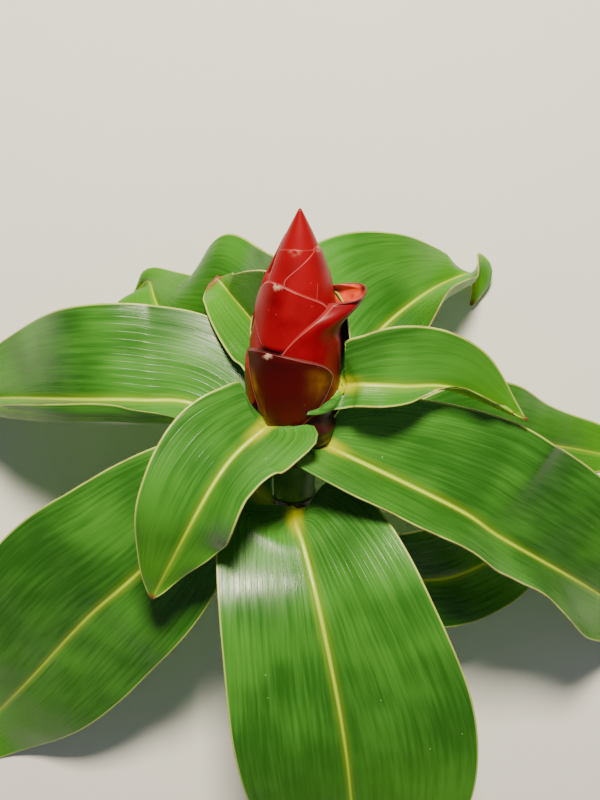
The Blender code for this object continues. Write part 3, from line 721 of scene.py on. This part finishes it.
class FlowerColours(bpy.types.PropertyGroup):
    """Colours of the flower's skins."""
    leaf_deep: colour("Deep leaf green", "Darkest green of a leaf's upper side", "#235913")
    leaf_clear: colour("Clear leaf green", "Lightest green of a leaf's upper side", "#427F26")
    leaf_young: colour("Tip green", "Green of the thinner flesh near a leaf's tip", "#569818")
    vein: colour("Vein", "Pale green of the parallel veins", "#8CC060")
    rib: colour("Midrib", "Yellow green of the midrib", "#B4CC2C")
    stalk: colour("Leaf foot", "Yellow at the foot of a blade", "#B0B400")
    margin: colour("Leaf margin", "Cream of a leaf's margin", "#B8CC60")
    rim: colour("Leaf rim", "Reddish brown of the outermost rim", "#7C5A30")
    dried: colour("Dried tip", "Dried brown of tips and torn edges", "#7A4020")
    # the underside greens are partly the underside's own paler green and partly painted light
    # shining through the thin leaf
    under: colour("Underside", "Green of a leaf's underside", "#469000")
    under_pale_and_glow: colour("Pale underside", "Lightest green of the underside", "#66AC0A")
    bract: colour("Bract red", "Clear red of a young bract", "#86000C")
    bract_deep: colour("Deep bract red", "Deeper red of an older bract", "#5C000A")
    bract_old: colour("Old bract", "Brown maroon of the lowest bract", "#400203")
    bract_margin: colour("Bract margin", "Pinkish white of a bract's hairline margin", "#C87068")
    scar: colour("Nectar scar", "Dark patch below a bract's point", "#320204")
    olive: colour("Olive patch", "Greenish patch on the lowest bract", "#80560C")
    inner: colour("Inner face", "Salmon of an open bract's inner face", "#D04820")
    torn: colour("Torn point", "Dry tan of a bract's torn point", "#C9A48C")
    cane: colour("Cane green", "Green of the cane", "#345F06")
    cane_pale: colour("Pale cane green", "Lighter green of the cane", "#4E7F12")
    # dried brown of a sheath's rim, darkened as painted shade of the hollow in its mouth
    rim_and_hollow_shade: colour("Sheath rim", "Dried brown rim of a sheath", "#20100A")
    # the neck's maroons are partly its own colour and partly painted shade under the cone
    neck: colour("Neck", "Dark maroon of the neck", "#260304")
    neck_red: colour("Red of the neck", "Redder patches of the neck", "#48060A")


def size(name, text, value, low, high):
    return FloatProperty(name=name, description=text, unit="LENGTH", default=value * MM,
                         min=low * MM, max=high * MM)


class FlowerSizes(bpy.types.PropertyGroup):
    """Sizes of the flower's skins."""
    blade: size("Blade thickness", "Thickness of a leaf's blade", 0.7, 0.3, 2.0)
    vein_gap: size("Vein spacing", "Distance between main veins at the widest place",
                   3.0, 1.0, 8.0)
    pleat: size("Pleat height", "Height of the soft pleats between veins", 0.03, 0.0, 0.5)
    bract_step: size("Bract step", "How far a bract's rim stands off the one above",
                     0.7, 0.2, 1.5)
    rows: IntProperty(
        name="Leaf rows", description="Rows of faces from a leaf's foot to its tip",
        default=96, min=20, max=200)


# ---- the pieces ---------------------------------------------------------------------------
def leaf_steps(width):
    """Where the columns of a blade lie, from the midrib (0) to the margin (1)."""
    inner = [0.0, 0.6 / width, 1.4 / width, 2.4 / width]
    outer = [1.0 - 1.6 / width, 1.0 - 0.8 / width, 1.0 - 0.3 / width, 1.0]
    count = max(6, int(width / 1.6))
    return inner + list(np.linspace(inner[-1], outer[0], count)[1:-1]) + outer


def leaf_spread(leaf, rows):
    """A leaf without thickness: its points, its midrib, the length of that, where its rows
    (s) and columns (t) lie, and the distance of every point from the midrib."""
    steps = leaf_steps(max(leaf["wide"]))
    mid, length = curve((tuple(around(*leaf["foot"])),) + leaf["mid"], rows + 1)
    along = unit(np.gradient(mid, axis=0))
    side = unit(np.cross(np.array([0.0, 0.0, 1.0]), along))
    frames = along, side, np.cross(along, side)
    left, right = (blade(leaf, k, mid, frames, steps) for k in (0, 1))
    points = np.stack(left[::-1] + [mid] + right, axis=1)
    s = np.linspace(0.0, 1.0, rows + 1)[:, None]
    t = np.array([-v for v in steps[:0:-1]] + list(steps))[None, :]
    widths = [blade_width(leaf, k, s) for k in (0, 1)]
    return points, mid, length, s, t, np.abs(t) * np.where(t < 0, widths[0], widths[1])


def leaf_grids(leaf, sizes, seed):
    """Upper and lower faces of a leaf as grids of points, with what its skin reads."""
    top, mid, length, s, t, across = leaf_spread(leaf, sizes.rows)
    thick = sizes.blade / MM
    pressed = leaf["snug"] * (t < 0.2) + leaf["sink"] * (1.0 - smooth(s, 0.0, 0.05))
    room = thick + 0.5 * KEEL * (1.0 - smooth(np.abs(t), 0.1, 0.4))
    top = off_the_axis(top, SKIN_GAP - pressed + room * smooth(s, 0.0, 0.08))
    down = unit(np.cross(np.gradient(top, axis=0), np.gradient(top, axis=1)))
    # veins leave the foot and, further out, the midrib, and run towards the tip
    share = (np.abs(t) * (1.0 + VEIN_BEND) - VEIN_BEND * s) / (1.0 + VEIN_BEND)
    vein = share * max(leaf["wide"]) / (sizes.vein_gap / MM)
    drift = np.array([[noise.noise(Vector((3.0 * a, 2.0 * b, seed))) for b in t[0]]
                      for a in s[:, 0]])
    vein = vein + 0.35 * drift
    # soft pleats between the veins, and swells about 20 mm across and 0.7 mm high
    calm = np.clip(across / 6.0, 0.0, 1.0) * smooth(s, 0.02, 0.15) * smooth(1 - s, 0.0, 0.1)
    pleats = sizes.pleat / MM * np.sin(2 * math.pi * vein / 2.0) * calm
    swell = np.array([[noise.noise(Vector(p / 21.0 + seed)) for p in row]
                      for row in top]) * 0.7 * calm
    # a midrib sunk into the upper face, standing out below and thickest at the foot
    sunk = 0.45 * (1.0 - smooth(across, 0.3, 2.2)) * (1.0 - 0.7 * s) * smooth(s, 0.0, 0.06)
    rib = KEEL * (0.12 + 0.88 * (1.0 - s) ** 1.6) * (1.0 - smooth(np.abs(t), 0.0, 0.22))
    stalk = KEEL * (1.0 - smooth(s, 0.01, 0.10)) * (1.0 - t ** 2)
    low = top + down * (thick + np.maximum(rib, stalk) - pleats - swell)[..., None]
    top = top + down * (sunk - pleats - swell)[..., None]
    low = off_the_axis(low, SKIN_GAP - pressed)
    low[..., 2] = np.maximum(low[..., 2], 0.0)
    top[..., 2] = np.maximum(top[..., 2], low[..., 2] + thick)
    run = s * length + 0.0 * t
    # the vein count of the left blade starts at 40, so that the blades' veins differ
    marks = {"blade": (vein + np.where(t < 0, 40.0, 0.0), across, from_the_margin(top)),
             "grow": (s + 0.0 * t, run, length - run)}
    # the foot runs on into the cane
    inward = (axis_point(leaf["foot"][0]) - mid[0]) * 0.25
    top, low = (np.vstack([face[:1] + inward, face]) for face in (top, low))
    marks = {key: [np.vstack([v[:1], v]) for v in value] for key, value in marks.items()}
    return top, low, marks


def add_leaves():
    sizes = bpy.context.scene.flower_sizes
    skins = [leaf_top_material(), leaf_under_material(), leaf_margin_material()]
    for seed, (name, leaf) in enumerate(LEAVES.items()):
        top, low, marks = leaf_grids({**PLAIN_LEAF, **leaf}, sizes, 1.7 * seed)
        made = sheet_piece(name + "_blade", top, low, skins, marks)
        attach(made, BODY)
        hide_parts(name)


def bract_reach(bract, k, d):
    """Angle that a bract covers at height d: a narrow foot, shoulders, then a point."""
    rise = bract["top"] - bract["drop"][k]
    point = np.clip((bract["top"] - d) / bract["drop"][k], 0.0, 1.0) ** bract["blunt"][k]
    climb = np.clip((d - bract["foot"]) / (rise - bract["foot"]), 0, 1) ** bract["flank"][k]
    waist = bract["waist"][k]
    flank = np.maximum(waist + (1.0 - waist) * climb, 0.03)
    # the smaller of the two, rounded off where they cross
    both = (np.maximum(point, 0.03) ** -6.0 + flank ** -6.0) ** (-1.0 / 6.0)
    return bract["reach"][k] * both


def bract_spots(bract, ripe, grid, edge, p, q):
    """How strongly the nectar scar and the olive patch show at each point of a bract."""
    high = bract["top"] - SCAR_DROP
    away = grid - around(high, bract["side"], float(cone_radius(high)))
    high = away @ ALONG
    scar = np.exp(-(high / 4.0) ** 2 - (np.linalg.norm(away, axis=2) ** 2 - high ** 2) / 18.0)
    scar = scar * min(1.0, 0.35 + ripe)
    if ripe < OLD:
        return scar, np.zeros_like(edge)
    # the oldest bract: olive along its left margin and right shoulder, darker at its point
    olive = np.exp(-((edge - 2.2) / 1.6) ** 2) * (1.0 - smooth(q, 0.5, 0.8)) * (p < 0)
    olive = olive + np.exp(-((p - 0.78) / 0.14) ** 2 - ((q - 0.6) / 0.16) ** 2)
    dark = np.exp(-((p - 0.1) / 0.5) ** 2 - ((q - 0.85) / 0.16) ** 2)
    return np.maximum(scar, 0.7 * dark), olive


def bract_grids(bract, ripe, pale, step):
    """Outer and inner faces of a bract, with what its skin reads."""
    # rows (q) from foot to point, closer together towards it, and columns (p) across
    q = np.concatenate([np.linspace(0.0, 0.6, 9)[:-1], np.linspace(0.6, 0.9, 14)[:-1],
                        np.linspace(0.9, 1.0, 14)])[:, None]
    p = np.sin(np.linspace(-0.5, 0.5, BRACT_COLUMNS) * math.pi)[None, :]
    top, foot = bract["top"], bract["foot"]
    d = foot + (top - foot) * q
    reach = np.where(p < 0, bract_reach(bract, 0, d), bract_reach(bract, 1, d))
    az = bract["side"] + p * reach
    step = bract.get("step", step)
    out = np.maximum(step * (1.0 - (top - d) / BRACT_RUN), min(step, -bract["sunk"]))
    bend = bract["open"] * smooth(q, 0.62, 1.0) ** 1.6
    bend = bend * (1.0 - 0.9 * np.abs(p) ** 1.5 * (1.0 - smooth(q, 0.96, 1.0)))
    r = cone_radius(d) + out + bend
    inner = np.minimum(cone_radius(d) - 3.0 + 1.27 * bend, r - 0.75)
    d = d + 0.0 * p
    grid, low = around(d, az, np.maximum(r, 0.4)), around(d, az, np.maximum(inner, 0.3))
    edge = from_the_margin(grid)
    middle = BRACT_COLUMNS // 2
    tip = np.linalg.norm(grid - grid[-1:, middle:middle + 1], axis=2)
    scar, olive = bract_spots(bract, ripe, grid, edge, p, q)
    flat = np.zeros_like(edge)
    # the oldest bract is less ripe towards its foot
    ripe = ripe - 0.38 * (1.0 - smooth(q, 0.0, 0.5)) * (ripe > OLD)
    marks = {"skin": (edge, flat + ripe, tip), "spot": (flat + scar, flat + olive, flat + pale)}
    return grid, low, marks


def add_cone():
    sizes = bpy.context.scene.flower_sizes
    outside, inside, rim = bract_material(), bract_inside_material(), bract_rim_material()
    for i, (bract, ripe, pale) in enumerate(zip(BRACTS, RIPENESS, PALENESS)):
        bract = {**PLAIN_BRACT, **bract}
        grid, low, marks = bract_grids(bract, ripe, pale, sizes.bract_step / MM)
        made = sheet_piece("bract_%02d" % (i + 1), grid, low, [outside, inside, rim], marks)
        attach(made, BODY)
        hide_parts("cone")
    # the core lies under the bracts and comes to the surface at the cone's point
    heights = np.concatenate([np.linspace(CONE_FROM - 1.0, 90.0, 40),
                              np.linspace(90.0, CONE_TO, 26)[1:]])
    radii = np.maximum(cone_radius(heights) - 1.5 * (1.0 - smooth(heights, 80.0, 94.0)), 0.35)
    made = turned_piece("cone_core", heights, radii[:, None], 48, [outside])
    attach(made, BODY)
    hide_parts("cone")


def turned_piece(name, heights, radii, count, materials):
    """A closed round body on the axis, with the marks that a young bract's skin reads."""
    az = np.arange(count) * 360.0 / count
    d = heights[:, None] + 0.0 * az[None, :]
    rings = around(d, az[None, :] + 0.0 * d, radii + 0.0 * d)
    rings[..., 2] = np.maximum(rings[..., 2], 0.0)
    rows = len(heights)
    faces = tube_faces(rows, count)
    faces.append(tuple(range(count))[::-1])
    faces.append(tuple(range((rows - 1) * count, rows * count)))
    # far from any margin, unripe, and a little beyond the cone's point
    skin = [np.full(d.shape, 50.0), np.zeros(d.shape), CONE_TO - d + 4.0]
    marks = {"skin": np.stack(skin, axis=-1), "spot": np.zeros(d.shape + (3,))}
    return mesh_piece(name, rings, faces, materials, marks)


def add_neck():
    skin = neck_material()
    d = np.linspace(NECK_FROM - 1.0, NECK_TO, 46)[:, None]
    az = np.arange(72)[None, :] * 5.0
    # a barren scale swells the neck on its right-hand side
    swell = np.interp(d, (2.0, 5.6, 9.0, 12.6, 17.0, 21.0, 24.0, NECK_TO),
                      (0.0, 0.7, 2.7, 4.3, 4.6, 4.7, 4.4, 3.0))
    swell = swell * smooth(az, 10.0, 38.0) * (1.0 - smooth(az, 190.0, 240.0))
    radii = bare_radius(d) + swell + 0.12 * np.sin(d * 1.1 + 0.02 * az)
    made = turned_piece("neck_body", d[:, 0], radii, 72, [skin])
    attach(made, BODY)
    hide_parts("neck")


def sheath_rings(low, high, side, az):
    """Rings of a sheath from its foot to its mouth: their distance along the cane, their
    radius and their distance below the sheath's rim. A side of None is the last sheath,
    which runs on into the neck without a mouth."""
    length, dip, flare = high - low, 0.0, 0.0
    if side is not None:
        # the mouth dips to a point on its leaf's side
        dip = 4.0 * (0.5 + 0.5 * np.cos(np.radians(az - side))) ** 3 - LAP
        flare = 0.7 * min(1.0, length / 10.0)
    rings = []
    for share in np.concatenate([np.linspace(0.0, 0.7, 8)[:-1], np.linspace(0.7, 1.0, 8)]):
        d = low - LAP + (length + LAP) * share - dip * share ** 3
        r = bare_radius(d) - 0.12 * (1.0 - share) + flare * share ** 2
        rings.append((d, r, 30.0 if side is None else high - dip - d))
    # the rim's edge, and the inside of the mouth
    for inset, back in MOUTH if side is not None else ():
        d = high - dip - back
        rings.append((d, bare_radius(d) + flare - inset, back))
    return rings


def add_cane():
    skin, pith = cane_material(), pith_material()
    count = 64
    az = np.arange(count) * 360.0 / count
    points, faces, marks, index = [], [], [], []

    def ring(d, r, below):
        points.append(around(d + 0.0 * az, az, r + 0.0 * az))
        marks.append(np.stack([below + 0.0 * az, az / 360.0, 0.0 * az], axis=-1))

    low = -CANE_LENGTH
    for high, side in sheath_rims() + [(NECK_FROM + 0.5, None)]:
        start = len(points)
        for d, r, below in sheath_rings(low, high, side, az):
            ring(d, r, below)
        faces += tube_faces(len(points) - start, count, start * count)
        low = high
        if start == 0:
            # the cut face, a little dished
            sheath_faces, edges = len(faces), [0]
            for share, deep in CUT:
                edges.append(len(points) * count)
                ring(deep - CANE_LENGTH - LAP, share * CANE_RADIUS,
                     (1.0 - share) * CANE_RADIUS)
            for a, b in zip(edges, edges[1:]):
                faces += [(a + c, b + c, b + (c + 1) % count, a + (c + 1) % count)
                          for c in range(count)]
            faces.append(tuple(range(edges[-1], edges[-1] + count))[::-1])
            index = [0] * sheath_faces + [1] * (len(faces) - sheath_faces)
    index += [0] * (len(faces) - len(index))
    grid = np.array(points)
    grid[..., 2] = np.maximum(grid[..., 2], 0.0)
    made = mesh_piece("cane", grid, faces, [skin, pith], {"skin": np.array(marks)}, index)
    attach(made, BODY)
    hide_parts("stem")


# ---- table, lights and camera -----------------------------------------------------------
TABLE_HALF, TABLE_TOP = 4.0, -0.0002     # metres
# place and width in metres, power in watts, and colour of every lamp
SOFTBOXES = (("key_softbox", (-0.02, 0.75, 1.0), 0.20, 35.0, "#FFF3DC"),
             ("overhead_softbox", (0.1, -0.2, 1.6), 2.6, 1.6, "#F2F7FF"),
             ("side_softbox", (1.5, 0.0, 0.9), 1.8, 1.4, "#F2F7FF"))
LIGHTS_AIM = Vector((0.0, 0.05, 0.08))
CAMERA_LEAN = 8.0        # degrees from straight down, towards the flower's tip
CAMERA_AIM = 22.0        # millimetres from the crown to the aim point, up in the view
CAMERA_AWAY = 620.8      # millimetres
CAMERA_LENS = 69.84


def add_stage():
    mesh = bpy.data.meshes.new("table_top")
    mesh.from_pydata([(x * TABLE_HALF, y * TABLE_HALF, TABLE_TOP) for x, y in
                      ((-1, -1), (1, -1), (1, 1), (-1, 1))], [], [(0, 1, 2, 3)])
    mesh.materials.append(table_material())
    table = put("table_top", mesh)
    world = bpy.data.worlds.new("studio_air")
    world.use_nodes = True
    feed(world.node_tree.nodes["Background"],
         {"Color": (*linear("#E9EDF2"), 1.0), "Strength": 0.16})
    bpy.context.scene.world = world
    for name, place, width, power, hue in SOFTBOXES:
        lamp = bpy.data.lights.new(name, "AREA")
        lamp.size, lamp.energy, lamp.color = width, power, linear(hue)
        light = put(name, lamp)
        light.location = place
        # only the small lamp is mirrored: the wide ones would wash out the waxed leaves
        light.visible_glossy = name == "key_softbox"
        turn = (Vector(place) - LIGHTS_AIM).to_track_quat("Z", "Y")
        light.rotation_euler = turn.to_euler()


def add_camera():
    lean = math.radians(CAMERA_LEAN)
    back = np.array([0.0, math.sin(lean), math.cos(lean)])
    up = np.array([0.0, math.cos(lean), -math.sin(lean)])
    aim = CROWN + CAMERA_AIM * up
    lens = bpy.data.cameras.new("camera")
    lens.lens = CAMERA_LENS
    lens.sensor_width = 36.0
    camera = put("camera", lens)
    camera.location = (aim + CAMERA_AWAY * back - np.array([*MIDDLE, 0.0])) * MM
    camera.rotation_euler = Matrix((RIGHT, up, back)).transposed().to_euler()
    bpy.context.scene.camera = camera


# ---- operators and panel --------------------------------------------------------------------
class FLOWER_OT_stage(bpy.types.Operator):
    """Add the table, the studio lights and the camera"""
    bl_idname = "flower.stage"
    bl_label = "Add stage"

    def execute(self, context):
        add_camera()
        add_stage()
        return {"FINISHED"}


class FLOWER_OT_leaves(bpy.types.Operator):
    """Add the eleven waved leaves"""
    bl_idname = "flower.leaves"
    bl_label = "Add leaves"

    def execute(self, context):
        add_leaves()
        return {"FINISHED"}


class FLOWER_OT_cone(bpy.types.Operator):
    """Add the cone of overlapping bracts"""
    bl_idname = "flower.cone"
    bl_label = "Add bract cone"

    def execute(self, context):
        add_cone()
        return {"FINISHED"}


class FLOWER_OT_neck(bpy.types.Operator):
    """Add the dark neck below the cone"""
    bl_idname = "flower.neck"
    bl_label = "Add neck"

    def execute(self, context):
        add_neck()
        return {"FINISHED"}


class FLOWER_OT_cane(bpy.types.Operator):
    """Add the cane with its sheaths and its cut end"""
    bl_idname = "flower.cane"
    bl_label = "Add cane"

    def execute(self, context):
        add_cane()
        return {"FINISHED"}


class FLOWER_PT_panel(bpy.types.Panel):
    """Buttons and settings of the flower"""
    bl_idname = "FLOWER_PT_panel"
    bl_label = "Red ginger flower"
    bl_space_type = "VIEW_3D"
    bl_region_type = "UI"
    bl_category = "Flower"

    def draw(self, context):
        for kind in PIECES:
            self.layout.operator(kind.bl_idname)
        for group in (context.scene.flower_sizes, context.scene.flower_colours):
            for name in group.bl_rna.properties.keys():
                if name not in ("rna_type", "name"):
                    self.layout.prop(group, name)


PIECES = (FLOWER_OT_stage, FLOWER_OT_cane, FLOWER_OT_neck, FLOWER_OT_cone, FLOWER_OT_leaves)
CLASSES = (FlowerColours, FlowerSizes) + PIECES + (FLOWER_PT_panel,)


def register():
    for kind in CLASSES:
        bpy.utils.register_class(kind)
    bpy.types.Scene.flower_colours = PointerProperty(type=FlowerColours)
    bpy.types.Scene.flower_sizes = PointerProperty(type=FlowerSizes)


def unregister():
    del bpy.types.Scene.flower_sizes
    del bpy.types.Scene.flower_colours
    for kind in reversed(CLASSES):
        bpy.utils.unregister_class(kind)


def main():
    register()
    bpy.ops.flower.stage()
    bpy.ops.flower.cane()
    bpy.ops.flower.neck()
    bpy.ops.flower.cone()
    bpy.ops.flower.leaves()


if __name__ == "__main__":
    main()
